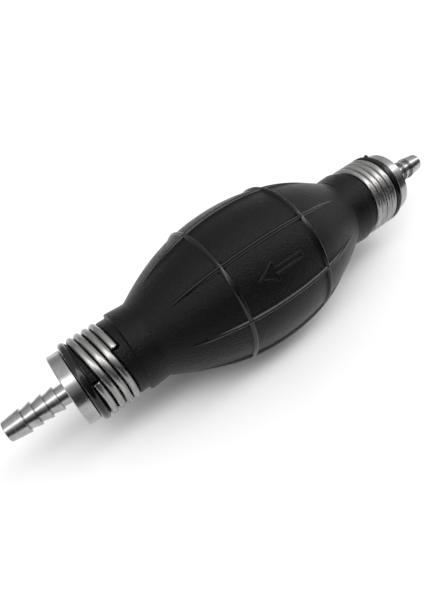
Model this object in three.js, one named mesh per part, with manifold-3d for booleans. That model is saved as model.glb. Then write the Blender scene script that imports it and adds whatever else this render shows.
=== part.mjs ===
// Hand-squeezed bulb pump that primes or siphons liquid through 8 mm (5/16 in) hose.
// Millimetres, Z up. The pump lies along X on Z = 0: liquid enters at +X and leaves at -X.
// A moulded rubber bulb is held on two turned aluminium fittings by coiled wire clamps.
// Each fitting holds a check valve, and both valves let liquid flow towards -X only.

import * as THREE from "three";
import { mergeVertices } from "three/addons/utils/BufferGeometryUtils.js";
import Module from "manifold-3d";

const wasm = await Module();
wasm.setup();

// Distances named _X are measured along the axis from the middle of the bulb.
const GAP = 0.3; // space kept between pieces that touch

// Rubber bulb
const BULB_RADIUS = 25.05;
const SHOULDER_X = 40.6; // where the bulb meets its collar
const SHOULDER_RADIUS = 13.4;
const BULB_FULLNESS = 2.09; // exponent of the bulb's side, 2 would be a parabola
const BULB_LEVEL_X = 4; // the side is level this far from the middle, so that the bulb lies steadily
const BULB_WALL = 3.0;
const CHAMBER_X = 36; // where the chamber starts to close in on the neck's bore
const RING_X = 15.5;
const RING_HALF_WIDTH = 1.0;
const RAISED = 0.75; // height of the rings and ribs
const RIB_COUNT = 8;
const RIB_WIDTH = 1.8;
const RIB_FULL_X = 22; // a rib starts to fade here
const RIB_END_X = 33;
const RIB_ROOT = 1.5; // how far a rib reaches into the wall
const RIB_ROOT_STRIDE = 4; // one point in this many is kept on a rib's buried side
const COLLAR_START_X = 41.2;
const COLLAR_START_RADIUS = 13.2;
const COLLAR_END_X = 47.3;
const COLLAR_END_RADIUS = 13.6;
const COLLAR_STEP = 0.4;
const NECK_RADIUS = 12.6;
const NECK_BORE_X = 42; // where the chamber has closed in on the neck's bore
const LIP_RADIUS = 13.3;

// Flow arrow, raised on the bulb's upper front
const ARROW_TIP_X = -8.6;
const ARROW_HEAD_X = -2.3;
const ARROW_TAIL_X = 7.8;
const ARROW_HEAD_HALF = 3.1;
const ARROW_SHAFT_HALF = 1.1;
const ARROW_LINE = 0.6;
const ARROW_HEIGHT = 0.4;
const ARROW_ANGLE = Math.PI / 4; // from straight up, towards the front

// Walls that the hand presses in
const GRIP_LENGTH = 48;
const GRIP_HEIGHT = 26;
const GRIP_CORNER = 10;

// Wire clamp, right-handed at both ends: each turn lies square to the axis, then steps over by one pitch
const WIRE_RADIUS = 1.1;
const COIL_RADIUS = 12.15;
const COIL_X = 60.0; // of the first turn's square part
const COIL_PITCH = 2.55;
const COIL_TURNS = 3.93;
const COIL_STEP_START = 0.76; // of a turn
const COIL_STEP_END = 1.08;
const OUTLET_WIRE_ANGLE = -0.75; // of each outer wire end, from the front, positive downwards
const INLET_WIRE_ANGLE = 2.2;

// Fitting: barbed tail, flange, spigot
const HALF_LENGTH = 87.5;
const TIP_RADIUS = 3.2;
const BARB_RADIUS = 4.0;
const TAIL_RADIUS = 3.2;
const BARB_X = [81.8, 78.4, 74.9, 71.3];
const BARB_STEP = 0.15;
const BORE_RADIUS = 2.4;
const FLANGE_OUTER_X = 68.1;
const FLANGE_INNER_X = 64.1;
const FLANGE_RADIUS = 11.85;
const FLANGE_BEVEL = 0.4;
const SPIGOT_RADIUS = 8.0;
const SPIGOT_END_X = 43;
const SPIGOT_RIDGE_X = [57, 50];
const SPIGOT_RIDGE = 0.3;
const SPIGOT_RIDGE_RAMP = 2;
const VALVE_CHAMBER_RADIUS = 6.3;
const VALVE_CHAMBER_X = 62;
const LEDGE_RADIUS = 5.4;

// Check valve, measured along the flow from the seat's upstream face
const VALVE_LENGTH = 15;
const VALVE_RADIUS = VALVE_CHAMBER_RADIUS - GAP;
const SEAT_LENGTH = 2.5;
const SEAT_BORE = 3.0;
const SEAT_LIP_RADIUS = 3.9;
const SEAT_RECESS = 0.5;
const SEAL_LENGTH = 0.8;
const SEAL_RADIUS = 4.1;
const SEAL_BORE = 1.6;
const HEAD_LENGTH = 2.0;
const HEAD_RADIUS = 4.3;
const NOSE_RADIUS = 2.0;
const NOSE_LENGTH = 0.8;
const STEM_RADIUS = 1.2;
const STEM_END = 14.2;
const SPRING_RADIUS = 2.6;
const SPRING_WIRE_RADIUS = 0.3;
const SPRING_TURNS = 4.5;
const CAGE_LENGTH = 3.5;
const CAGE_RIM = 1.0;
const CAGE_HUB_RADIUS = 3.1;
const CAGE_SPOKES = 3;
const CAGE_SPOKE_HALF_ANGLE = 0.28;
const CLIP_LENGTH = 1.0;
const CLIP_RADIUS = 6.7;
const CLIP_INNER_RADIUS = 5.2;
const CLIP_OPENING_HALF_ANGLE = 0.35;

// Fineness of the facets
const BULB_SEGMENTS = 24;
const BULB_STEPS = 8;
const CHAMBER_STEPS = 3;
const RIB_STEPS = 12;
const GRIP_CORNER_STEPS = 3;
const METAL_SEGMENTS = 20;
const CAGE_CURVE_STEPS = 6;
const CLAMP_SIDES = 6;
const CLAMP_STEPS_PER_TURN = 14;
const SPRING_SIDES = 5;
const SPRING_STEPS_PER_TURN = 10;

const SPIGOT_FIT_RADIUS = SPIGOT_RADIUS + SPIGOT_RIDGE + GAP; // the neck's bore
const CLAMPED_RADIUS = COIL_RADIUS - WIRE_RADIUS - GAP; // the neck under the wire
const COIL_START_X = COIL_X + COIL_PITCH * ((COIL_STEP_END - 1) / (COIL_STEP_END - COIL_STEP_START));
const COIL_END_X = COIL_X - COIL_PITCH * Math.ceil(COIL_TURNS);
const AXIS_HEIGHT = BULB_RADIUS * Math.cos(Math.PI / BULB_SEGMENTS);

const rubber = new THREE.MeshStandardMaterial({ color: 0x1b1b1d, roughness: 0.7 });
const aluminium = new THREE.MeshStandardMaterial({ color: 0xc4c7cb, roughness: 0.3, metalness: 1 });
const zincWire = new THREE.MeshStandardMaterial({ color: 0xa3a5a8, roughness: 0.38, metalness: 1 });
const acetal = new THREE.MeshStandardMaterial({ color: 0xe6e4dc, roughness: 0.45 });
const nitrile = new THREE.MeshStandardMaterial({ color: 0x222222, roughness: 0.6 });
const brass = new THREE.MeshStandardMaterial({ color: 0xb99a55, roughness: 0.35, metalness: 1 });
const steel = new THREE.MeshStandardMaterial({ color: 0xb0b2b5, roughness: 0.3, metalness: 1 });

// ---------- geometry helpers ----------

// A closed outline of [x, radius] points turned about the X axis, with a flat facing down.
function turned(outline, segments) {
  const points = outline.map(([x, radius]) => new THREE.Vector2(radius, x));
  const geometry = new THREE.LatheGeometry(points, segments, Math.PI / segments);
  return geometry.rotateZ(-Math.PI / 2);
}

function solidFrom(geometry) {
  const bare = geometry.clone();
  bare.deleteAttribute("normal");
  bare.deleteAttribute("uv");
  const merged = mergeVertices(bare);
  const vertProperties = merged.attributes.position.array;
  const triVerts = new Uint32Array(merged.index.array);
  return new wasm.Manifold(new wasm.Mesh({ numProp: 3, vertProperties, triVerts }));
}

function geometryFrom(solid) {
  const { vertProperties, triVerts } = solid.getMesh();
  const geometry = new THREE.BufferGeometry();
  geometry.setAttribute("position", new THREE.BufferAttribute(vertProperties, 3));
  geometry.setIndex(new THREE.BufferAttribute(triVerts, 1));
  geometry.computeVertexNormals();
  return geometry;
}

function part(name, geometry, material) {
  const mesh = new THREE.Mesh(geometry, material);
  mesh.name = name;
  return mesh;
}

// A coil about the X axis. Its angles are positive from the front downwards, and the sign of winding is
// the way it turns. place(turn) is the distance along X after that many turns.
class Coil extends THREE.Curve {
  constructor(radius, turns, startAngle, winding, place) {
    super();
    this.radius = radius;
    this.turns = turns;
    this.startAngle = startAngle;
    this.winding = winding;
    this.place = place;
  }

  getPoint(t, target = new THREE.Vector3()) {
    const turn = t * this.turns;
    const angle = this.startAngle + this.winding * turn * 2 * Math.PI;
    const y = -this.radius * Math.cos(angle);
    const z = -this.radius * Math.sin(angle);
    return target.set(this.place(turn), y, z);
  }
}

function wireAlong(curve, wireRadius, sides, steps) {
  const section = new THREE.Shape();
  for (let i = 0; i < sides; i++) {
    const angle = (i * 2 * Math.PI) / sides;
    const point = [wireRadius * Math.cos(angle), wireRadius * Math.sin(angle)];
    if (i === 0) section.moveTo(...point);
    else section.lineTo(...point);
  }
  return new THREE.ExtrudeGeometry(section, { steps, extrudePath: curve });
}

function roundedRectangle(width, height, corner) {
  const [x, y] = [width / 2, height / 2];
  const shape = new THREE.Shape();
  shape.absarc(x - corner, y - corner, corner, 0, Math.PI / 2);
  shape.absarc(corner - x, y - corner, corner, Math.PI / 2, Math.PI);
  shape.absarc(corner - x, corner - y, corner, Math.PI, 1.5 * Math.PI);
  shape.absarc(x - corner, corner - y, corner, 1.5 * Math.PI, 2 * Math.PI);
  return shape;
}

// ---------- rubber bulb ----------

function bulbRadius(x) {
  const reach = Math.min(1, Math.abs(x) / SHOULDER_X);
  return BULB_RADIUS - (BULB_RADIUS - SHOULDER_RADIUS) * reach ** BULB_FULLNESS;
}

function ringHeight(x) {
  const across = (Math.abs(x) - RING_X) / RING_HALF_WIDTH;
  return RAISED * Math.max(0, 1 - across ** 2);
}

// The outside from the middle of the bulb to the lip that meets the fitting's flange.
function outerHalf() {
  const stations = [];
  for (let i = 1; i <= BULB_STEPS; i++) {
    const x = BULB_LEVEL_X + (i * (SHOULDER_X - BULB_LEVEL_X)) / BULB_STEPS;
    if (ringHeight(x) === 0) stations.push(x);
  }
  for (const across of [-1, -0.5, 0.5, 1]) {
    stations.push(RING_X + across * RING_HALF_WIDTH);
  }
  stations.sort((a, b) => a - b);
  const wireStartX = COIL_END_X - WIRE_RADIUS;
  const lipStartX = COIL_START_X + WIRE_RADIUS + GAP;
  const lipEndX = FLANGE_INNER_X - GAP;
  const lipMiddleX = (lipStartX + lipEndX) / 2;
  const lipBase = LIP_RADIUS - (lipEndX - lipStartX) / 2;
  const outline = [[0, BULB_RADIUS], [BULB_LEVEL_X, BULB_RADIUS]];
  outline.push(...stations.map((x) => [x, bulbRadius(x) + ringHeight(x)]));
  outline.push(
    [COLLAR_START_X, COLLAR_START_RADIUS],
    [COLLAR_END_X, COLLAR_END_RADIUS],
    [COLLAR_END_X + COLLAR_STEP, NECK_RADIUS],
    [wireStartX - COLLAR_STEP, NECK_RADIUS],
    [wireStartX, CLAMPED_RADIUS],
    [lipStartX, CLAMPED_RADIUS],
    [lipStartX, lipBase],
  );
  for (const quarter of [1, 2, 3]) {
    const angle = (quarter * Math.PI) / 4;
    const half = (lipEndX - lipStartX) / 2;
    outline.push([lipMiddleX - half * Math.cos(angle), lipBase + half * Math.sin(angle)]);
  }
  outline.push([lipEndX, lipBase]);
  return outline;
}

// The inside from the middle of the chamber to the end of the neck's bore.
function innerHalf() {
  const outline = [];
  for (let i = 0; i <= CHAMBER_STEPS; i++) {
    const x = (i * CHAMBER_X) / CHAMBER_STEPS;
    outline.push([x, bulbRadius(x) - BULB_WALL]);
  }
  outline.push([NECK_BORE_X, SPIGOT_FIT_RADIUS], [FLANGE_INNER_X - GAP, SPIGOT_FIT_RADIUS]);
  return outline;
}

// One outline of the whole wall: out along the outside, back along the inside.
function bulbWall() {
  const mirrored = (half) => half.slice(1).reverse().map(([x, radius]) => [-x, radius]);
  const outside = [...mirrored(outerHalf()), ...outerHalf()];
  const inside = [...mirrored(innerHalf()), ...innerHalf()].reverse();
  return solidFrom(turned([...outside, ...inside, outside[0]], BULB_SEGMENTS));
}

// A rib that stands on the bulb along X and sinks into it at both ends.
function rib(angle) {
  const top = [];
  const bottom = [];
  for (let i = 0; i <= RIB_STEPS; i++) {
    const x = RIB_END_X * ((2 * i) / RIB_STEPS - 1);
    const faded = Math.max(0, (Math.abs(x) - RIB_FULL_X) / (RIB_END_X - RIB_FULL_X));
    const height = RAISED - (RAISED + GAP) * faded ** 2;
    top.push(new THREE.Vector2(x, bulbRadius(x) + height));
    if (i % RIB_ROOT_STRIDE === 0) bottom.unshift(new THREE.Vector2(x, bulbRadius(x) - RIB_ROOT));
  }
  const settings = { depth: RIB_WIDTH, bevelEnabled: false };
  const geometry = new THREE.ExtrudeGeometry(new THREE.Shape([...top, ...bottom]), settings);
  return solidFrom(geometry.translate(0, 0, -RIB_WIDTH / 2).rotateX(angle));
}

function arrowOutline(inset) {
  const rise = (ARROW_HEAD_X - ARROW_TIP_X) / ARROW_HEAD_HALF;
  const tipInset = inset * Math.hypot(1, rise);
  const headX = ARROW_HEAD_X - inset;
  const headHalf = (headX - ARROW_TIP_X - tipInset) / rise;
  const shaftHalf = ARROW_SHAFT_HALF - inset;
  const shape = [
    [ARROW_TIP_X + tipInset, 0],
    [headX, -headHalf],
    [headX, -shaftHalf],
    [ARROW_TAIL_X - inset, -shaftHalf],
    [ARROW_TAIL_X - inset, shaftHalf],
    [headX, shaftHalf],
    [headX, headHalf],
  ];
  return shape.map(([x, y]) => new THREE.Vector2(x, y));
}

function flowArrow() {
  const shape = new THREE.Shape(arrowOutline(0));
  shape.holes.push(new THREE.Path(arrowOutline(ARROW_LINE)));
  const depth = RIB_ROOT + ARROW_HEIGHT;
  const geometry = new THREE.ExtrudeGeometry(shape, { depth, bevelEnabled: false });
  geometry.translate(0, 0, BULB_RADIUS - RIB_ROOT);
  return solidFrom(geometry.rotateX(ARROW_ANGLE));
}

// A prism through one side wall, along Y: side is -1 for the front, 1 for the back.
function gripPrism(side, grown) {
  const corner = GRIP_CORNER + grown;
  const shape = roundedRectangle(GRIP_LENGTH + 2 * grown, GRIP_HEIGHT + 2 * grown, corner);
  const depth = 2 * BULB_RADIUS;
  const settings = { depth, bevelEnabled: false, curveSegments: GRIP_CORNER_STEPS };
  const geometry = new THREE.ExtrudeGeometry(shape, settings).rotateX(Math.PI / 2);
  if (side > 0) geometry.translate(0, depth, 0);
  return solidFrom(geometry);
}

function rubberParts() {
  let whole = bulbWall().add(flowArrow());
  for (let i = 0; i < RIB_COUNT; i++) {
    whole = whole.add(rib(((i + 0.5) * 2 * Math.PI) / RIB_COUNT));
  }
  const walls = { grip_wall_front: -1, grip_wall_back: 1 };
  const meshes = [];
  let body = whole;
  for (const [name, side] of Object.entries(walls)) {
    meshes.push(part(name, geometryFrom(whole.intersect(gripPrism(side, 0))), rubber));
    body = body.subtract(gripPrism(side, GAP));
  }
  meshes.push(part("bulb_body", geometryFrom(body), rubber));
  return meshes;
}

// ---------- end fittings and clamps ----------

function fittingGeometry() {
  const clipStartX = VALVE_CHAMBER_X - VALVE_LENGTH - GAP;
  const clipEndX = clipStartX - CLIP_LENGTH - 2 * GAP;
  const outline = [
    [HALF_LENGTH, BORE_RADIUS],
    [VALVE_CHAMBER_X + LEDGE_RADIUS - BORE_RADIUS, BORE_RADIUS],
    [VALVE_CHAMBER_X, LEDGE_RADIUS],
    [VALVE_CHAMBER_X, VALVE_CHAMBER_RADIUS],
    [clipStartX, VALVE_CHAMBER_RADIUS],
    [clipStartX, CLIP_RADIUS + GAP],
    [clipEndX, CLIP_RADIUS + GAP],
    [clipEndX, VALVE_CHAMBER_RADIUS],
    [SPIGOT_END_X, VALVE_CHAMBER_RADIUS],
    [SPIGOT_END_X, SPIGOT_RADIUS],
  ];
  for (const x of [...SPIGOT_RIDGE_X].reverse()) {
    outline.push([x - SPIGOT_RIDGE_RAMP, SPIGOT_RADIUS]);
    outline.push([x, SPIGOT_RADIUS + SPIGOT_RIDGE], [x, SPIGOT_RADIUS]);
  }
  outline.push(
    [FLANGE_INNER_X, SPIGOT_RADIUS],
    [FLANGE_INNER_X, FLANGE_RADIUS - FLANGE_BEVEL],
    [FLANGE_INNER_X + FLANGE_BEVEL, FLANGE_RADIUS],
    [FLANGE_OUTER_X - FLANGE_BEVEL, FLANGE_RADIUS],
    [FLANGE_OUTER_X, FLANGE_RADIUS - FLANGE_BEVEL],
    [FLANGE_OUTER_X, TAIL_RADIUS],
  );
  for (const x of [...BARB_X].reverse()) {
    outline.push([x, TAIL_RADIUS], [x + BARB_STEP, BARB_RADIUS]);
  }
  outline.push([HALF_LENGTH, TIP_RADIUS], [HALF_LENGTH, BORE_RADIUS]);
  return turned(outline, METAL_SEGMENTS);
}

// Distance of the clamp wire's middle from the middle of the bulb.
function clampPlace(turn) {
  const stepLength = COIL_STEP_END - COIL_STEP_START;
  const passed = turn - COIL_STEP_START + 1;
  const stepped = Math.floor(passed) - 1 + Math.min(1, (passed % 1) / stepLength);
  return COIL_X - COIL_PITCH * stepped;
}

function clampGeometry(startAngle) {
  const coil = new Coil(COIL_RADIUS, COIL_TURNS, startAngle, -1, clampPlace);
  const steps = Math.round(COIL_TURNS * CLAMP_STEPS_PER_TURN);
  return wireAlong(coil, WIRE_RADIUS, CLAMP_SIDES, steps);
}

// One end of the pump, built at +X.
function endGroup(prefix, wireAngle) {
  const group = new THREE.Group();
  group.add(part(prefix + "_fitting", fittingGeometry(), aluminium));
  group.add(part(prefix + "_clamp", clampGeometry(wireAngle), zincWire));
  group.add(part(prefix + "_retaining_ring", retainingRingGeometry(), steel));
  return group;
}

// An open ring that snaps into the groove inside the spigot.
function retainingRingGeometry() {
  const start = CLIP_OPENING_HALF_ANGLE;
  const end = 2 * Math.PI - CLIP_OPENING_HALF_ANGLE;
  const shape = new THREE.Shape();
  shape.absarc(0, 0, CLIP_RADIUS, start, end);
  shape.absarc(0, 0, CLIP_INNER_RADIUS, end, start, true);
  const settings = { depth: CLIP_LENGTH, bevelEnabled: false, curveSegments: METAL_SEGMENTS / 2 };
  const geometry = new THREE.ExtrudeGeometry(shape, settings).rotateY(Math.PI / 2);
  return geometry.translate(VALVE_CHAMBER_X - GAP - VALVE_LENGTH - GAP - CLIP_LENGTH, 0, 0);
}

// ---------- check valve ----------

// The valve's pieces are turned with s along +X, and the group faces them down the flow, -X.
function valveGroup(prefix) {
  const sealStart = SEAT_LENGTH + GAP;
  const headStart = sealStart + SEAL_LENGTH + GAP;
  const headEnd = headStart + HEAD_LENGTH;
  const cageStart = VALVE_LENGTH - CAGE_LENGTH;
  const group = new THREE.Group();

  const seat = [
    [0, SEAT_BORE],
    [0, VALVE_RADIUS],
    [SEAT_LENGTH - SEAT_RECESS, VALVE_RADIUS],
    [SEAT_LENGTH - SEAT_RECESS, SEAT_LIP_RADIUS + SEAT_RECESS],
    [SEAT_LENGTH, SEAT_LIP_RADIUS],
    [SEAT_LENGTH, SEAT_BORE],
    [0, SEAT_BORE],
  ];
  group.add(part(prefix + "_valve_seat", turned(seat, METAL_SEGMENTS), brass));

  const seal = [
    [sealStart, SEAL_BORE],
    [sealStart, SEAL_RADIUS],
    [sealStart + SEAL_LENGTH, SEAL_RADIUS],
    [sealStart + SEAL_LENGTH, SEAL_BORE],
    [sealStart, SEAL_BORE],
  ];
  group.add(part(prefix + "_poppet_seal", turned(seal, METAL_SEGMENTS), nitrile));

  const noseEnd = sealStart - GAP;
  const poppet = [
    [noseEnd - NOSE_LENGTH, 0],
    [noseEnd - NOSE_LENGTH, STEM_RADIUS],
    [noseEnd - NOSE_LENGTH / 2, NOSE_RADIUS],
    [noseEnd, NOSE_RADIUS],
    [noseEnd, STEM_RADIUS],
    [headStart, STEM_RADIUS],
    [headStart, HEAD_RADIUS],
    [headEnd - HEAD_LENGTH / 2, HEAD_RADIUS],
    [headEnd, SPRING_RADIUS + 2 * SPRING_WIRE_RADIUS],
    [headEnd, STEM_RADIUS],
    [STEM_END, STEM_RADIUS],
    [STEM_END, 0],
  ];
  group.add(part(prefix + "_poppet", turned(poppet, METAL_SEGMENTS), acetal));

  const springEnd = SPRING_WIRE_RADIUS + GAP;
  const springLength = cageStart - headEnd - 2 * springEnd;
  const place = (turn) => (turn * springLength) / SPRING_TURNS;
  const coil = new Coil(SPRING_RADIUS, SPRING_TURNS, 0, 1, place);
  const steps = SPRING_TURNS * SPRING_STEPS_PER_TURN;
  const spring = wireAlong(coil, SPRING_WIRE_RADIUS, SPRING_SIDES, steps);
  group.add(part(prefix + "_valve_spring", spring.translate(headEnd + springEnd, 0, 0), steel));

  const cage = cageGeometry().translate(cageStart, 0, 0);
  group.add(part(prefix + "_valve_cage", cage, acetal));

  group.rotation.z = Math.PI;
  return group;
}

// A hub that guides the stem, held by spokes in a rim, with windows for the liquid.
function cageGeometry() {
  const shape = new THREE.Shape();
  shape.absarc(0, 0, VALVE_RADIUS, 0, 2 * Math.PI);
  const guide = new THREE.Path();
  guide.absarc(0, 0, STEM_RADIUS + GAP, 0, 2 * Math.PI);
  shape.holes.push(guide);
  for (let i = 0; i < CAGE_SPOKES; i++) {
    const start = (i * 2 * Math.PI) / CAGE_SPOKES + CAGE_SPOKE_HALF_ANGLE;
    const end = ((i + 1) * 2 * Math.PI) / CAGE_SPOKES - CAGE_SPOKE_HALF_ANGLE;
    const window = new THREE.Path();
    window.absarc(0, 0, VALVE_RADIUS - CAGE_RIM, start, end);
    window.absarc(0, 0, CAGE_HUB_RADIUS, end, start, true);
    shape.holes.push(window);
  }
  const settings = { depth: CAGE_LENGTH, bevelEnabled: false, curveSegments: CAGE_CURVE_STEPS };
  return new THREE.ExtrudeGeometry(shape, settings).rotateY(Math.PI / 2);
}

// ---------- assembly ----------

const pump = new THREE.Group();
pump.position.z = AXIS_HEIGHT;
pump.add(...rubberParts());

const inletEnd = endGroup("inlet", INLET_WIRE_ANGLE);
const outletEnd = endGroup("outlet", Math.PI - OUTLET_WIRE_ANGLE);
outletEnd.rotation.z = Math.PI;
pump.add(inletEnd, outletEnd);

const inletValve = valveGroup("inlet");
inletValve.position.x = VALVE_CHAMBER_X - GAP;
const outletValve = valveGroup("outlet");
outletValve.position.x = -(VALVE_CHAMBER_X - GAP - VALVE_LENGTH);
pump.add(inletValve, outletValve);

export default new THREE.Group().add(pump);
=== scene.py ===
"""Siphon bulb pump: fine meshes, materials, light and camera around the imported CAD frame.

Lengths in this script are millimetres from the middle of the bulb's axis. to_row() turns them into the row
frame's metres. An angle round the axis is 0 at the front (-Y) and 90 degrees at the top (+Z).
"""

import math

import bpy
import numpy as np
from mathutils import Matrix, Vector


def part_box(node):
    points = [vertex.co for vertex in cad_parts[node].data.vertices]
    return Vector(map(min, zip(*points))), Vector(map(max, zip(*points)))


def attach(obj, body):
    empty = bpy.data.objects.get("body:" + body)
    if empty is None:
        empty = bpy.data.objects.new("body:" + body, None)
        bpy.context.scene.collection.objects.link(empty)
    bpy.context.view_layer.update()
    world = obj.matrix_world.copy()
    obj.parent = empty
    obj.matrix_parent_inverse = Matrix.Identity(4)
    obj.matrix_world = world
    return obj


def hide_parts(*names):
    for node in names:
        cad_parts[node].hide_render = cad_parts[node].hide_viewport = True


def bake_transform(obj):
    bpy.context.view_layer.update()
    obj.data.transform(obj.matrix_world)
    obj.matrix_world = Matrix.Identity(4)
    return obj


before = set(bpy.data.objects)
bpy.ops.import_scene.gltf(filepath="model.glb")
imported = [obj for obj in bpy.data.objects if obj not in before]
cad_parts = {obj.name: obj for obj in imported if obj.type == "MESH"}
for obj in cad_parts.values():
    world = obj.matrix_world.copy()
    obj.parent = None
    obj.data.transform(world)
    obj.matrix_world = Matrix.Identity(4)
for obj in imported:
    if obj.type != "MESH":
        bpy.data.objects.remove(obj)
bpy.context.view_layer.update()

MM = 0.001
SCENE = bpy.context.scene
FITTING_LOW, FITTING_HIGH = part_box("outlet_fitting")
AXIS_Z = (FITTING_LOW[2] + FITTING_HIGH[2]) / 2 / MM

# Rubber bulb
BULB_RADIUS = 25.05
SHOULDER_X = 40.6
SHOULDER_RADIUS = 13.2
BULB_FULLNESS = 2.09
SHOULDER_BLEND = 0.35
FURTHEST_REACH = 1.15  # the bulb's side is followed this far past the shoulder, under the collar
BULB_WALL = 3.0
CHAMBER_X, CHAMBER_POINTS = 36.0, 14
COLLAR_START_X, COLLAR_START_RADIUS = 41.1, 13.25
COLLAR_END_X, COLLAR_END_RADIUS = 47.3, 13.65
COLLAR_EDGE = 0.5
COLLAR_LIFT = 0.22
NECK_RADIUS = 12.55
NECK_BORE, NECK_BORE_X = 8.6, 42.0
LIP_START_X, LIP_END_X, LIP_RADIUS, LIP_BASE = 61.55, 63.95, 13.3, 12.1
LIP_STEPS, LIP_ROUNDING = 20, 0.9  # an exponent of 1 would round the lip off evenly
RING_X, RING_HALF, RING_HEIGHT = 15.6, 0.95, 0.8
RIB_SPACING, RIB_HALF, RIB_HEIGHT = 45, 0.95, 0.8  # the spacing is in degrees
RIB_FADE_X, RIB_END_X = 15.5, 34.0
RIB_FADE_POWER, RIB_NARROWING = 1.5, 0.3
BEAD_ROUND = 0.3  # roundness of a ring's or rib's top
BEAD_CREASE, CREASE_PLACE, CREASE_WIDTH = 0.22, 1.15, 0.3  # the crease beside it, in heights and half widths
LIP_POLISH = 0.8  # the lips take as much of the mould's polish as this share of a rib's top
ARROW_ANGLE, ARROW_HALF_LINE, ARROW_HEIGHT, ARROW_EDGE = 44.5, 0.2, 0.2, 0.35
ARROW_TIP, ARROW_HEAD, ARROW_TAIL = -8.3, -2.6, 7.5
ARROW_HEAD_HALF, ARROW_SHAFT_HALF = 2.75, 0.85
PIPS = ((-63.6, 97.0, 0.4, 0.4), (62.8, 113.0, 0.8, 0.8))  # pips on the lips: x, angle, half width, height

# Wire clamps
WIRE_RADIUS = 1.17
COIL_RADIUS = 12.1
COIL_X = 60.0
COIL_PITCH = 2.55
COIL_TURNS = 3.93
COIL_STEP_START, COIL_STEP_END = 0.76, 1.08
OUTLET_WIRE_ANGLE = 43.0
INLET_WIRE_ANGLE = -126.0
WIRE_WAVER = ((0.035, 2.3, 1.0), (0.03, 0.7, 0.0))  # hand-wound: height, waves per turn, phase
WAVER_FREE = 0.2  # turns at each end of the wire that run true
WIRE_SIDES, WIRE_STEPS_PER_TURN = 24, 110
CUT_END = ((0.25, 0.12), (0.62, 0.0), (0.88, 0.02), (1.0, 0.14))  # share of the radius, and set back, dished
WIRE_CLEARANCE = 0.06
PRESS_EDGE, PRESS_RISE = 0.7, 0.3  # the rubber's slope beside the wire, and what clears the plain neck
END_PRESS = 2.2  # the rubber springs back this much sooner past a wire's end than beside the wire

# Fittings
HALF_LENGTH, TIP_RADIUS, BORE_RADIUS = 87.5, 3.2, 2.4
BARB_RADIUS, TAIL_RADIUS, BARB_X = 4.0, 3.15, (71.2, 74.8, 78.3, 81.7)
FLANGE_INNER_X, FLANGE_OUTER_X, FLANGE_RADIUS = 64.1, 68.1, 11.85
FLANGE_INNER_BEVEL, FLANGE_BEVEL, TAIL_FILLET = 0.2, 0.25, 0.5
SPIGOT_RADIUS, SPIGOT_END_X, SPIGOT_RIDGES = 8.0, 43.0, (50.0, 57.0)
SPIGOT_RIDGE_LENGTH, SPIGOT_RIDGE_HEIGHT = 2, 0.3
CHAMBER_END_X, CHAMBER_RADIUS, LEDGE_RADIUS = 62.0, 6.3, 5.4
STEP = 0.1  # how far along the axis a sharp shoulder takes

# How far apart the points of the bulb's skin are: along the axis and, in degrees, round it
COARSE, RELIEF, COLLAR, NECK, RING = 0.8, 0.26, 0.2, 0.22, 0.12
RELIEF_END_X, COLLAR_MIDDLE_X, COLLAR_REACH, NECK_FROM_X, RING_REACH = 9.5, 44.5, 5, 49.4, 1.6
COARSE_ANGLE, RIB_ANGLE, ARROW_STEP_ANGLE = 1.5, 0.27, 0.42
RIB_REACH_ANGLE, ARROW_REACH_ANGLE = 3.4, 8.5


def to_row(points):
    """Millimetres from the middle of the axis to metres in the row frame."""
    return (np.asarray(points, float) + (0, 0, AXIS_Z)) * MM


def smoothstep(t):
    t = np.clip(t, 0, 1)
    return t * t * (3 - 2 * t)


def smooth_max(a, b, width):
    """The larger of a and b, with a fillet of about that width where they cross."""
    return np.logaddexp(a / width, b / width) * width


def spaced(start, end, spacing, samples=4000):
    """Places from start to end, as far apart as spacing() says at each place."""
    fine = np.linspace(start, end, samples)
    density = 1 / spacing(fine)
    steps = np.concatenate([[0], np.cumsum((density[1:] + density[:-1]) / 2 * np.diff(fine))])
    count = int(math.ceil(steps[-1]))
    return np.interp(np.linspace(0, steps[-1], count + 1), steps, fine)


# ---------- meshes ----------

def grid_faces(rows, columns, close_rows=False, close_columns=False):
    """Quads of a grid of points, numbered row by row."""
    i = np.arange(rows if close_rows else rows - 1)
    j = np.arange(columns if close_columns else columns - 1)
    i, j = np.meshgrid(i, j, indexing="ij")
    i2, j2 = (i + 1) % rows, (j + 1) % columns
    quads = [i * columns + j, i * columns + j2, i2 * columns + j2, i2 * columns + j]
    return np.stack([q.ravel() for q in quads], 1)


def store_point_values(piece, name, values):
    """One number per vertex, for the materials to read."""
    layer = piece.data.attributes.new(name, "FLOAT", "POINT")
    layer.data.foreach_set("value", np.asarray(values, np.float32).ravel())


def mesh_piece(name, points, faces, material, sharp=None):
    """A smooth-shaded mesh piece; edges that turn by more than sharp degrees stay crisp."""
    mesh = bpy.data.meshes.new(name)
    mesh.from_pydata(to_row(points).tolist(), [], [list(f) for f in faces])
    mesh.validate()
    mesh.update()
    mesh.polygons.foreach_set("use_smooth", [True] * len(mesh.polygons))
    if sharp is not None:
        mesh.set_sharp_from_angle(angle=math.radians(sharp))
    mesh.materials.append(material)
    piece = bpy.data.objects.new(name, mesh)
    SCENE.collection.objects.link(piece)
    return piece


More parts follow.
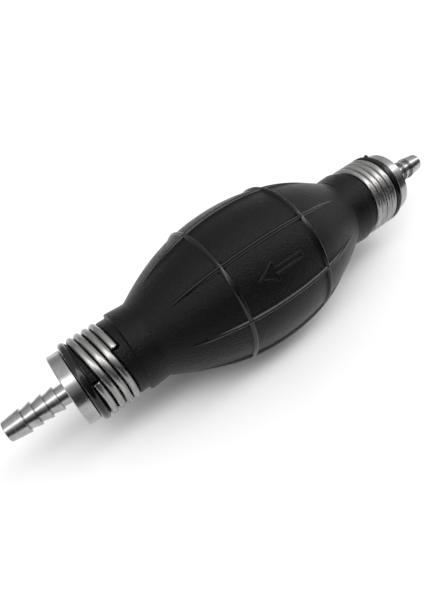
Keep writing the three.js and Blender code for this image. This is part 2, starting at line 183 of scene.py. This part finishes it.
def filleted(outline, radius, steps=4, most_cut=0.4, straight=165):
    """The closed outline with an arc for each corner, which takes up to most_cut of the edges beside it."""
    points = [np.array(p, float) for p in outline]
    result = []
    for k, corner in enumerate(points):
        before, after = points[k - 1] - corner, points[(k + 1) % len(points)] - corner
        length_before, length_after = np.linalg.norm(before), np.linalg.norm(after)
        before, after = before / length_before, after / length_after
        turn = math.acos(np.clip(before @ after, -1, 1))
        if math.degrees(turn) > straight:
            result.append(corner)
            continue
        cut = min(radius / math.tan(turn / 2), most_cut * length_before, most_cut * length_after)
        start, end = corner + before * cut, corner + after * cut
        for t in np.linspace(0, 1, steps + 1):
            result.append((1 - t) ** 2 * start + 2 * t * (1 - t) * corner + t * t * end)
    return np.array(result)


def turned_piece(name, outline, material, segments=128, fillet=0.08, sharp=50):
    """A closed outline of (x, radius) points turned about the axis."""
    outline = filleted(outline, fillet)
    angle = np.linspace(0, 2 * math.pi, segments, endpoint=False)
    x = np.repeat(outline[:, 0], segments)
    radius = np.repeat(outline[:, 1], segments)
    around = np.tile(angle, len(outline))
    points = np.stack([x, -radius * np.cos(around), radius * np.sin(around)], 1)
    faces = grid_faces(len(outline), segments, close_rows=True, close_columns=True)
    return mesh_piece(name, points, faces, material, sharp)


# ---------- rubber bulb ----------

def plateau(distance, half, edge):
    """1 on a raised line, 0 away from it, with a soft flank."""
    return 1 - smoothstep((np.abs(distance) - half + edge / 2) / edge)


def bulb_base(x):
    """Radius of the bulb and its collar, without relief."""
    x = np.abs(x)
    reach = np.minimum(x / SHOULDER_X, FURTHEST_REACH)
    bulb = BULB_RADIUS - (BULB_RADIUS - SHOULDER_RADIUS) * reach ** BULB_FULLNESS
    slope = (COLLAR_END_RADIUS - COLLAR_START_RADIUS) / (COLLAR_END_X - COLLAR_START_X)
    on_collar = smoothstep((x - COLLAR_START_X + COLLAR_EDGE / 2) / COLLAR_EDGE)
    collar = COLLAR_START_RADIUS + slope * (x - COLLAR_START_X) - COLLAR_LIFT * (1 - on_collar)
    past_collar = smoothstep((x - COLLAR_END_X) / COLLAR_EDGE)
    radius = smooth_max(bulb, collar, SHOULDER_BLEND)
    return radius + (NECK_RADIUS - radius) * past_collar


def bead(distance, half):
    """A moulding with a rounded top, 1 there, and a small crease where it meets the wall."""
    across = np.clip(np.abs(distance) / np.maximum(half, 1e-6), 0, 2)
    full = math.hypot(1, BEAD_ROUND)
    top = np.clip((full - np.hypot(across, BEAD_ROUND)) / (full - BEAD_ROUND), 0, 1)
    crease = BEAD_CREASE * np.exp(-(((across - CREASE_PLACE) / CREASE_WIDTH) ** 2))
    return top - crease


def rib_relief(x, angle, radius):
    nearest = (angle / RIB_SPACING) % 1 - 0.5
    distance = np.radians(nearest * RIB_SPACING) * radius
    fade = np.clip((np.abs(x) - RIB_FADE_X) / (RIB_END_X - RIB_FADE_X), 0, 1)
    half = RIB_HALF * (1 - RIB_NARROWING * fade)
    return RIB_HEIGHT * (1 - fade ** RIB_FADE_POWER) * bead(distance, half)


def ring_relief(x):
    return RING_HEIGHT * bead(np.abs(x) - RING_X, RING_HALF)


def distance_to_line(x, y, start, end):
    along = np.array(end, float) - start
    t = ((x - start[0]) * along[0] + (y - start[1]) * along[1]) / (along @ along)
    t = np.clip(t, 0, 1)
    return np.hypot(x - start[0] - t * along[0], y - start[1] - t * along[1])


def arrow_relief(x, angle):
    across = np.radians(angle - ARROW_ANGLE) * BULB_RADIUS
    half = [
        (ARROW_TIP, 0),
        (ARROW_HEAD, ARROW_HEAD_HALF),
        (ARROW_HEAD, ARROW_SHAFT_HALF),
        (ARROW_TAIL, ARROW_SHAFT_HALF),
    ]
    outline = half + [(px, -py) for px, py in reversed(half[1:])] + [half[0]]
    nearest = np.full(np.broadcast(x, across).shape, 99.0)
    for start, end in zip(outline, outline[1:]):
        nearest = np.minimum(nearest, distance_to_line(x, across, start, end))
    return ARROW_HEIGHT * plateau(nearest, ARROW_HALF_LINE, ARROW_EDGE)


def pip_relief(x, angle, radius):
    relief = np.zeros_like(x)
    for pip_x, pip_angle, half, height in PIPS:
        across = np.radians(angle - pip_angle) * radius
        away = ((x - pip_x) ** 2 + across ** 2) / half ** 2
        relief = np.maximum(relief, height * np.sqrt(np.clip(1 - away, 0, 1)))
    return relief


def coil_place(turn):
    """Distance of the wire's middle from the bulb's: each turn lies square, then steps over by a pitch."""
    passed = np.asarray(turn) - COIL_STEP_START + 1
    share = np.clip((passed % 1) / (COIL_STEP_END - COIL_STEP_START), 0, 1)
    return COIL_X - COIL_PITCH * (np.floor(passed) - 1 + (share + smoothstep(share)) / 2)


def wire_press(x, angle, radius):
    """The neck's radius where the clamp wire presses it in."""
    start = np.where(x < 0, OUTLET_WIRE_ANGLE, 180 - INLET_WIRE_ANGLE)
    own = np.where(x < 0, angle, 180 - angle)
    turned_by = (start - own) % 360 / 360
    pressed = radius
    for turn in range(-1, math.ceil(COIL_TURNS) + 1):
        along = turned_by + turn
        inside = np.clip(along, 0, COIL_TURNS)
        beyond = np.abs(along - inside) * 2 * math.pi * COIL_RADIUS * END_PRESS
        dx = np.hypot(np.abs(x) - coil_place(inside), beyond)
        floor = COIL_RADIUS - np.sqrt(np.maximum(WIRE_RADIUS ** 2 - dx ** 2, 0)) - WIRE_CLEARANCE
        edge = smoothstep((dx - WIRE_RADIUS) / PRESS_EDGE)
        limit = floor + (radius + PRESS_RISE - floor) * edge
        pressed = np.minimum(pressed, limit)
    return pressed


def bulb_outline():
    """(x, radius) of the outside, from one lip to the other."""
    def spacing(x):
        step = np.full_like(x, COARSE)
        step[x < RELIEF_END_X] = RELIEF
        step[np.abs(x - RING_X) < RING_REACH] = RING
        step[np.abs(x - COLLAR_MIDDLE_X) < COLLAR_REACH] = COLLAR
        step[x > NECK_FROM_X] = NECK
        return step

    x = spaced(0, LIP_START_X, spacing)
    radius = bulb_base(x)
    arc = np.linspace(0, math.pi, LIP_STEPS + 1)
    lip_x = (LIP_START_X + LIP_END_X) / 2 - (LIP_END_X - LIP_START_X) / 2 * np.cos(arc)
    lip_radius = LIP_BASE + (LIP_RADIUS - LIP_BASE) * np.sin(arc) ** LIP_ROUNDING
    x, radius = np.concatenate([x, lip_x]), np.concatenate([radius, lip_radius])
    return np.concatenate([-x[:0:-1], x]), np.concatenate([radius[:0:-1], radius])


def bulb_inline():
    """(x, radius) of the inside, from the inlet's end back to the outlet's."""
    x = np.linspace(0, CHAMBER_X, CHAMBER_POINTS)
    radius = bulb_base(x) - BULB_WALL
    x = np.concatenate([x, [NECK_BORE_X, LIP_END_X]])
    radius = np.concatenate([radius, [NECK_BORE, NECK_BORE]])
    return np.concatenate([x[::-1], -x[1:]]), np.concatenate([radius[::-1], radius[1:]])


def bulb_angles():
    """Angles from the bottom round the front to the top, closest on the ribs and the arrow."""
    def spacing(angle):
        step = np.full_like(angle, COARSE_ANGLE)
        step[np.abs((angle / RIB_SPACING) % 1 - 0.5) * RIB_SPACING < RIB_REACH_ANGLE] = RIB_ANGLE
        step[np.abs(angle - ARROW_ANGLE) < ARROW_REACH_ANGLE] = ARROW_STEP_ANGLE
        return step

    return spaced(-90, 90, spacing)


def bulb_half(name, material, back=False):
    """Half of the rubber moulding, cut on the plane y = 0, with its inside and its cut face."""
    angle = bulb_angles() + (180 if back else 0)
    x, base = bulb_outline()
    X, A = np.meshgrid(x, angle, indexing="ij")
    R = np.repeat(base[:, None], len(angle), 1)
    raised = np.maximum(rib_relief(X, A, R), ring_relief(X))
    if not back:
        arrow = arrow_relief(X, A)
        raised = np.where(arrow > 0, np.maximum(raised, arrow), raised)
    raised = np.where(np.abs(X) > LIP_START_X, pip_relief(X, A, R), raised)
    on_neck = (np.abs(X) > COLLAR_END_X) & (np.abs(X) < LIP_START_X)
    R = R + raised
    R = np.where(on_neck, wire_press(X, A, R), R)
    moulded = np.where(np.abs(X) < LIP_START_X, raised / RIB_HEIGHT, LIP_POLISH)
    inner_x, inner_radius = bulb_inline()
    X = np.concatenate([X, np.repeat(inner_x[:, None], len(angle), 1)])
    R = np.concatenate([R, np.repeat(inner_radius[:, None], len(angle), 1)])
    A = np.radians(np.repeat(angle[None, :], len(X), 0))
    points = np.stack([X, -R * np.cos(A), R * np.sin(A)], -1).reshape(-1, 3)
    rows, columns = X.shape
    faces = grid_faces(rows, columns, close_rows=True).tolist()
    edge = np.arange(rows) * columns
    faces.append(edge[::-1].tolist())
    faces.append((edge + columns - 1).tolist())
    half = mesh_piece(name, points, faces, material, sharp=70)
    inside = np.zeros((len(inner_x), columns))
    store_point_values(half, "relief", np.concatenate([moulded, inside]))
    return half


# ---------- clamps ----------

def clamp_piece(name, side, start_angle, material):
    """A coil of about four turns; side is -1 at the outlet and 1 at the inlet."""
    steps, sides = int(COIL_TURNS * WIRE_STEPS_PER_TURN), WIRE_SIDES
    t = np.linspace(0, COIL_TURNS, steps + 1)
    waver = sum(height * np.sin(waves * t * 2 * math.pi + phase) for height, waves, phase in WIRE_WAVER)
    waver = waver * (t > WAVER_FREE) * (t < COIL_TURNS - WAVER_FREE)
    turn = np.radians(start_angle) - t * 2 * math.pi
    if side > 0:
        turn = np.radians(start_angle) + t * 2 * math.pi
    x = side * (coil_place(t) + waver)
    centre = np.stack([x, -COIL_RADIUS * np.cos(turn), COIL_RADIUS * np.sin(turn)], 1)
    along = np.gradient(centre, axis=0)
    along /= np.linalg.norm(along, axis=1)[:, None]
    outward = np.stack([0 * x, -np.cos(turn), np.sin(turn)], 1)
    across = np.cross(along, outward)
    around = np.linspace(0, 2 * math.pi, sides, endpoint=False)
    rings = [(0, share, set_back) for share, set_back in CUT_END]
    rings += [(k, 1.0, 0.0) for k in range(1, steps)]
    rings += [(steps, share, -set_back) for share, set_back in reversed(CUT_END)]
    points = []
    for k, share, set_back in rings:
        middle = centre[k] + along[k] * set_back
        offset = outward[k][None] * np.cos(around)[:, None] + across[k][None] * np.sin(around)[:, None]
        points.append(middle + share * WIRE_RADIUS * offset)
    faces = grid_faces(len(rings), sides, close_columns=True).tolist()
    last = (len(rings) - 1) * sides
    faces.append(list(range(sides - 1, -1, -1)))
    faces.append([last + s for s in range(sides)])
    piece = mesh_piece(name, np.concatenate(points), faces, material, sharp=50)
    add_wire_coordinates(piece, len(rings), sides)
    return piece


def add_wire_coordinates(piece, rings, sides):
    """A UV map that runs along the wire (u, millimetres) and round it (v, 0 to 1)."""
    layer = piece.data.uv_layers.new(name="wire")
    step = 2 * math.pi * COIL_RADIUS * COIL_TURNS / rings
    vertex = np.empty(len(piece.data.loops), int)
    piece.data.loops.foreach_get("vertex_index", vertex)
    uv = np.stack([vertex // sides * step, vertex % sides / sides], 1)
    layer.data.foreach_set("uv", uv.astype(np.float32).ravel())


# ---------- fittings ----------

def fitting_piece(name, side, material):
    outline = [
        (HALF_LENGTH, BORE_RADIUS),
        (CHAMBER_END_X + LEDGE_RADIUS - BORE_RADIUS, BORE_RADIUS),
        (CHAMBER_END_X, LEDGE_RADIUS),
        (CHAMBER_END_X, CHAMBER_RADIUS),
        (SPIGOT_END_X, CHAMBER_RADIUS),
        (SPIGOT_END_X, SPIGOT_RADIUS),
    ]
    for x in SPIGOT_RIDGES:
        outline += [
            (x - SPIGOT_RIDGE_LENGTH, SPIGOT_RADIUS),
            (x, SPIGOT_RADIUS + SPIGOT_RIDGE_HEIGHT),
            (x + STEP, SPIGOT_RADIUS),
        ]
    outline += [
        (FLANGE_INNER_X, SPIGOT_RADIUS),
        (FLANGE_INNER_X, FLANGE_RADIUS - FLANGE_INNER_BEVEL),
        (FLANGE_INNER_X + FLANGE_INNER_BEVEL, FLANGE_RADIUS),
        (FLANGE_OUTER_X - FLANGE_BEVEL, FLANGE_RADIUS),
        (FLANGE_OUTER_X, FLANGE_RADIUS - FLANGE_BEVEL),
        (FLANGE_OUTER_X, TAIL_RADIUS + TAIL_FILLET),
        (FLANGE_OUTER_X + 0.3 * TAIL_FILLET, TAIL_RADIUS + 0.3 * TAIL_FILLET),
    ]
    for x in BARB_X:
        outline += [(x - STEP / 2, TAIL_RADIUS), (x + STEP / 2, BARB_RADIUS)]
    outline += [(HALF_LENGTH - 1.5 * STEP, TIP_RADIUS + STEP / 2), (HALF_LENGTH, TIP_RADIUS - STEP)]
    outline = [(side * x, radius) for x, radius in outline]
    return turned_piece(name, outline if side > 0 else outline[::-1], material, fillet=0.05)


# ---------- materials ----------

class Nodes:
    """Short calls for building one material's node tree."""

    def __init__(self, name):
        self.material = bpy.data.materials.new(name)
        self.material.use_nodes = True
        self.tree = self.material.node_tree
        self.shader = self.tree.nodes["Principled BSDF"]

    def add(self, kind, links=(), **settings):
        node = self.tree.nodes.new(kind)
        for key, value in settings.items():
            if hasattr(node, key):
                setattr(node, key, value)
            else:
                node.inputs[key.replace("_", " ")].default_value = value
        for socket, source in dict(links).items():
            self.tree.links.new(source, node.inputs[socket])
        return node

    def object_position(self):
        return self.add("ShaderNodeTexCoord").outputs["Object"]

    def stretched(self, position, scale):
        return self.add("ShaderNodeMapping", {"Vector": position}, Scale=scale).outputs["Vector"]

    def noise(self, position, scale, detail=3.0, roughness=0.55):
        node = self.add("ShaderNodeTexNoise", {"Vector": position}, Scale=scale, Detail=detail)
        node.inputs["Roughness"].default_value = roughness
        return node.outputs["Fac"]

    def ramp(self, factor, low, high, low_at=0.3, high_at=0.7):
        node = self.add("ShaderNodeMapRange", {"Value": factor})
        node.inputs["From Min"].default_value, node.inputs["From Max"].default_value = low_at, high_at
        node.inputs["To Min"].default_value, node.inputs["To Max"].default_value = low, high
        return node.outputs["Result"]

    def colours(self, factor, low, high):
        node = self.add("ShaderNodeMix", data_type="RGBA")
        for socket, value in (("A", low), ("B", high)):
            colour_sockets = [s for s in node.inputs if s.name == socket and s.type == "RGBA"]
            colour_sockets[0].default_value = (*value, 1)
        self.tree.links.new(factor, node.inputs["Factor"])
        return [s for s in node.outputs if s.type == "RGBA"][0]

    def bump(self, height, distance, strength=1.0, over=None):
        node = self.add("ShaderNodeBump", {"Height": height}, Distance=distance, Strength=strength)
        if over is not None:
            self.tree.links.new(over, node.inputs["Normal"])
        return node.outputs["Normal"]

    def finish(self, colour=None, roughness=None, normal=None, **constants):
        sockets = {"Base Color": colour, "Roughness": roughness, "Normal": normal}
        for socket, source in sockets.items():
            if source is not None:
                self.tree.links.new(source, self.shader.inputs[socket])
        for key, value in constants.items():
            self.shader.inputs[key.replace("_", " ")].default_value = value
        return self.material


def rubber_material():
    """Moulded black rubber: fine grain and faint bloom, smooth and glossy where it is raised."""
    n = Nodes("bulb_rubber")
    place = n.object_position()
    grain = n.noise(place, 1900, 2.0, 0.6)
    patches = n.noise(place, 95, 4.0)
    bloom = n.noise(place, 420, 3.0)
    relief = n.add("ShaderNodeAttribute", attribute_name="relief").outputs["Fac"]
    colour = n.colours(n.ramp(patches, 0, 1), (0.0014, 0.0014, 0.0015), (0.003, 0.0029, 0.003))
    matt = n.ramp(bloom, 0.29, 0.37)
    polish = n.ramp(relief, 0.0, -0.15, 0.05, 0.4)
    roughness = n.add("ShaderNodeMath", {0: matt, 1: polish}, operation="ADD").outputs[0]
    fine = n.bump(grain, 0.00026, 1.0)
    n.tree.links.new(n.ramp(relief, 1.0, 0.15, 0.05, 0.4), fine.node.inputs["Strength"])
    normal = n.bump(bloom, 0.0001, 0.1, fine)
    n.tree.links.new(n.ramp(relief, 0.0, 0.5, 0.15, 0.55), n.shader.inputs["Coat Weight"])
    return n.finish(colour, roughness, normal, Specular_IOR_Level=0.16, Coat_Roughness=0.14)


def aluminium_material():
    """Bright turned aluminium: tool marks run round the axis, with small stains and dulled patches."""
    n = Nodes("turned_aluminium")
    place = n.object_position()
    centred = n.add("ShaderNodeVectorMath", {0: place}, operation="SUBTRACT")
    centred.inputs[1].default_value = (0, 0, AXIS_Z * MM)
    parts = n.add("ShaderNodeSeparateXYZ", {0: centred.outputs[0]}).outputs
    across = n.add("ShaderNodeCombineXYZ", {"X": parts["Y"], "Y": parts["Z"]}).outputs[0]
    radius = n.add("ShaderNodeVectorMath", {0: across}, operation="LENGTH").outputs["Value"]
    ring = n.add("ShaderNodeCombineXYZ", {"X": parts["X"], "Y": radius}).outputs[0]
    marks = n.noise(ring, 3800, 2.0, 0.7)
    coarse = n.noise(ring, 900, 2.0, 0.6)
    stains = n.noise(place, 260, 4.0, 0.6)
    colour = n.colours(n.ramp(stains, 0, 1, 0.35, 0.65), (0.31, 0.31, 0.315), (0.41, 0.41, 0.415))
    roughness = n.ramp(coarse, 0.19, 0.3)
    normal = n.bump(coarse, 0.00003, 0.35, n.bump(marks, 0.000012, 0.5))
    return n.finish(colour, roughness, normal, Metallic=1.0)


def wire_material():
    """Galvanised wire: drawing streaks along it, zinc mottling and scuffs."""
    n = Nodes("clamp_wire")
    along = n.add("ShaderNodeTexCoord").outputs["UV"]
    streaks = n.noise(n.stretched(along, (0.12, 9.0, 1.0)), 1.0, 4.0, 0.65)
    place = n.object_position()
    mottle = n.noise(place, 750, 3.0, 0.6)
    scuffs = n.noise(n.stretched(along, (0.5, 5.0, 1.0)), 1.0, 2.0)
    colour = n.colours(n.ramp(streaks, 0, 1, 0.35, 0.68), (0.2, 0.197, 0.194), (0.44, 0.435, 0.43))
    roughness = n.ramp(scuffs, 0.22, 0.36)
    normal = n.bump(mottle, 0.00003, 0.25, n.bump(streaks, 0.00008, 0.6))
    return n.finish(colour, roughness, normal, Metallic=1.0)


def inner_material(name, low, high, metallic, roughness, grain=1500):
    """A plain finish for the small pieces inside the ends, with tool or mould grain."""
    n = Nodes(name)
    place = n.object_position()
    mottle = n.noise(place, grain / 4)
    colour = n.colours(n.ramp(mottle, 0, 1), low, high)
    rough = n.ramp(mottle, roughness, roughness + 0.12)
    normal = n.bump(n.noise(place, grain, 2.0), 0.00002, 0.4)
    return n.finish(colour, rough, normal, Metallic=metallic)


RUBBER = rubber_material()
ALUMINIUM = aluminium_material()
WIRE = wire_material()
STEEL = inner_material("spring_steel", (0.5, 0.5, 0.51), (0.68, 0.68, 0.69), 1.0, 0.22)
BRASS = inner_material("seat_brass", (0.6, 0.46, 0.2), (0.75, 0.6, 0.3), 1.0, 0.25)
ACETAL = inner_material("valve_acetal", (0.78, 0.77, 0.72), (0.86, 0.85, 0.81), 0.0, 0.38, 900)
SEAL = inner_material("seal_rubber", (0.012, 0.012, 0.012), (0.025, 0.025, 0.025), 0.0, 0.5)


# ---------- pieces ----------

INNER_NODES = {
    "retaining_ring": STEEL,
    "valve_spring": STEEL,
    "valve_seat": BRASS,
    "poppet": ACETAL,
    "valve_cage": ACETAL,
    "poppet_seal": SEAL,
}


def dress_cad_node(node, material):
    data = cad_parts[node].data
    data.materials.clear()
    data.materials.append(material)


def add_bulb():
    front = bulb_half("bulb_rubber_front", RUBBER)
    back = bulb_half("bulb_rubber_back", RUBBER, back=True)
    for half, body, side in ((front, "grip_front", -1), (back, "grip_back", 1)):
        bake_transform(half)
    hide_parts("bulb_body", "grip_wall_front")
    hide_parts("bulb_body", "grip_wall_back")


def add_ends():
    for end, side, wire_angle in (("outlet", -1, OUTLET_WIRE_ANGLE), ("inlet", 1, INLET_WIRE_ANGLE)):
        clamp = clamp_piece(end + "_wire_clamp", side, wire_angle, WIRE)
        fitting = fitting_piece(end + "_barb_fitting", side, ALUMINIUM)
        for piece, node, slot in ((clamp, "clamp", "clamp_wire"), (fitting, "fitting", "turned_aluminium")):
            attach(piece, "root")
            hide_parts(f"{end}_{node}")
        for node, material in INNER_NODES.items():
            dress_cad_node(f"{end}_{node}", material)


# ---------- camera, floor and light ----------

# The camera's aim and place are given for a bulb whose facing side is turned to the front (-Y).
CAMERA_YAW, CAMERA_PITCH, CAMERA_ROLL = 18.1, -0.544, 33.807
CAMERA_PLACE = (-62.108, -142.187, -2.111)
CAMERA_FACING = 35.13  # the side of the bulb that faces the camera, in degrees from the top towards the front
FOCAL_IMAGE_HEIGHTS = 453.4 / 600
CAMERA_SHIFT = (-3.579 / 600, 6.695 / 600)
SENSOR = 36.0


def add_camera():
    data = bpy.data.cameras.new("camera")
    camera = bpy.data.objects.new("camera", data)
    SCENE.collection.objects.link(camera)
    data.sensor_width = SENSOR
    data.lens = FOCAL_IMAGE_HEIGHTS * SENSOR
    data.shift_x, data.shift_y = CAMERA_SHIFT
    data.clip_start, data.clip_end = 0.005, 20
    yaw, pitch, roll = map(math.radians, (CAMERA_YAW, CAMERA_PITCH, CAMERA_ROLL))
    flat = math.cos(pitch)
    forward = Vector((math.sin(yaw) * flat, math.cos(yaw) * flat, math.sin(pitch)))
    level_right = Vector((math.cos(yaw), -math.sin(yaw), 0))
    level_up = level_right.cross(forward)
    right = level_right * math.cos(roll) - level_up * math.sin(roll)
    up = level_right * math.sin(roll) + level_up * math.cos(roll)
    turn = Matrix.Rotation(math.radians(CAMERA_FACING - 90), 4, "X")
    pose = Matrix([right, up, -forward]).transposed().to_4x4()
    pose.translation = Vector(CAMERA_PLACE) * MM
    camera.matrix_world = Matrix.Translation((0, 0, AXIS_Z * MM)) @ turn @ pose
    SCENE.camera = camera


FLOOR_HALF = 3.0  # metres


def add_floor():
    n = Nodes("floor_paper")
    place = n.object_position()
    colour = n.colours(n.noise(place, 40), (0.92, 0.92, 0.92), (0.96, 0.96, 0.96))
    n.finish(colour, None, n.bump(n.noise(place, 900), 0.0001, 0.1), Roughness=0.9)
    mesh = bpy.data.meshes.new("floor")
    half = FLOOR_HALF
    height = (AXIS_Z - BULB_RADIUS) * MM
    corners = [(-half, -half, height), (half, -half, height), (half, half, height), (-half, half, height)]
    mesh.from_pydata(corners, [], [(0, 1, 2, 3)])
    mesh.materials.append(n.material)
    floor = bpy.data.objects.new("floor", mesh)
    SCENE.collection.objects.link(floor)


BACKDROP_RADIUS, BACKDROP_LOW = 2.5, -0.1  # metres, and radians below the horizon
BACKDROP_ROWS, BACKDROP_COLUMNS = 17, 48
BACKDROP_GREY = 0.95


def add_backdrop():
    """A pale dome that only the camera sees, so that every view has a plain background."""
    n = Nodes("backdrop_paper")
    n.shader.inputs["Base Color"].default_value = (0, 0, 0, 1)
    n.finish(Roughness=1.0, Emission_Color=(BACKDROP_GREY,) * 3 + (1,), Emission_Strength=1.0)
    rise = np.linspace(BACKDROP_LOW, math.pi / 2, BACKDROP_ROWS)
    turn = np.linspace(0, 2 * math.pi, BACKDROP_COLUMNS)
    rise, turn = np.meshgrid(rise, turn, indexing="ij")
    points = np.stack([np.cos(rise) * np.cos(turn), np.cos(rise) * np.sin(turn), np.sin(rise)], -1)
    faces = grid_faces(BACKDROP_ROWS, BACKDROP_COLUMNS).tolist()
    mesh = bpy.data.meshes.new("backdrop")
    mesh.from_pydata((points.reshape(-1, 3) * BACKDROP_RADIUS).tolist(), [], faces)
    mesh.materials.append(n.material)
    backdrop = bpy.data.objects.new("backdrop", mesh)
    SCENE.collection.objects.link(backdrop)
    for ray in ("diffuse", "glossy", "transmission", "volume_scatter", "shadow"):
        setattr(backdrop, "visible_" + ray, False)


# Light of the studio tent by angle round the X axis: 0 is the front horizon, 90 overhead, 180 the back one.
TENT = (
    (0, 0.05), (34, 0.06), (48, 0.3), (66, 0.7), (77, 4.6), (84, 4.6), (94, 1.0), (150, 0.6), (180, 0.45),
)


def add_world():
    world = bpy.data.worlds.new("studio")
    SCENE.world = world
    world.use_nodes = True
    nodes, links = world.node_tree.nodes, world.node_tree.links
    background = nodes["Background"]
    parts = nodes.new("ShaderNodeSeparateXYZ")
    links.new(nodes.new("ShaderNodeTexCoord").outputs["Generated"], parts.inputs[0])

    def calculate(operation, source, second):
        node = nodes.new("ShaderNodeMath")
        node.operation = operation
        links.new(source, node.inputs[0])
        if isinstance(second, float):
            node.inputs[1].default_value = second
        else:
            links.new(second, node.inputs[1])
        return node.outputs[0]

    forwards = calculate("MULTIPLY", parts.outputs["Y"], -1.0)
    angle = calculate("ARCTAN2", parts.outputs["Z"], forwards)
    share = calculate("DIVIDE", angle, math.pi)
    curve = nodes.new("ShaderNodeFloatCurve")
    links.new(share, curve.inputs["Value"])
    brightest = max(level for _, level in TENT)
    points = curve.mapping.curves[0].points
    for place, level in TENT[1:-1]:
        points.new(place / 180, level / brightest)
    points[0].location = (0, TENT[0][1] / brightest)
    points[-1].location = (1, TENT[-1][1] / brightest)
    for point in points:
        point.handle_type = "VECTOR"
    curve.mapping.update()
    links.new(curve.outputs[0], background.inputs["Color"])
    background.inputs["Strength"].default_value = brightest


SCENE.view_settings.view_transform = "Standard"
add_bulb()
add_ends()
add_camera()
add_floor()
add_backdrop()
add_world()
